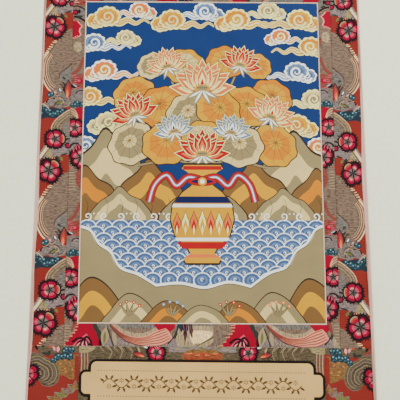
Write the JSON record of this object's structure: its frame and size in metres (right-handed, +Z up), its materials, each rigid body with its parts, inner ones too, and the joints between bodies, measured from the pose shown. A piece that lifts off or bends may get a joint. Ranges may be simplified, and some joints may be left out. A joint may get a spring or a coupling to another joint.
{
  "type": "thangka scroll painting",
  "caption": "Woven silk picture with a corded edge in a brocade mount with mitred band, pale selvages, hemmed ends and a piped silk tablet below, laid flat face up with soft lifts at its edges.",
  "frame": {"origin": "on the floor under the middle of the whole scroll as it lies, at the bottom centre of its bounding box", "axes": "+Y along the scroll to the top of the picture, +X to the right when facing the picture, +Z up out of the face"},
  "size_m": [0.6219, 0.9998, 0.0088],
  "materials": {
    "picture_silk": "woven silk picture in blue, gold, cream and red, soft satin",
    "cord_silk": "thin twisted cord, pale, soft sheen",
    "brocade": "ribbed brocade in brick red, crimson, beige and teal, matt with a faint sheen",
    "selvage_cotton": "pale woven edge, matt",
    "tablet_silk": "fine plain silk, soft satin",
    "piping_black": "couched dark cord, matt"
  },
  "bodies": {
    "root": {"picture_panel": "picture_silk", "edging_left": "cord_silk", "edging_right": "cord_silk", "edging_top": "cord_silk", "edging_bottom": "cord_silk", "band_left": "brocade", "band_right": "brocade", "band_top": "brocade", "band_bottom": "brocade", "border_left": "brocade", "border_right": "brocade", "border_top": "brocade", "foot_left": "brocade", "foot_middle": "brocade", "foot_right": "brocade", "selvage_left": "selvage_cotton", "selvage_right": "selvage_cotton", "tablet": "tablet_silk", "tablet_piping": "piping_black"}
  },
  "joints": []
}
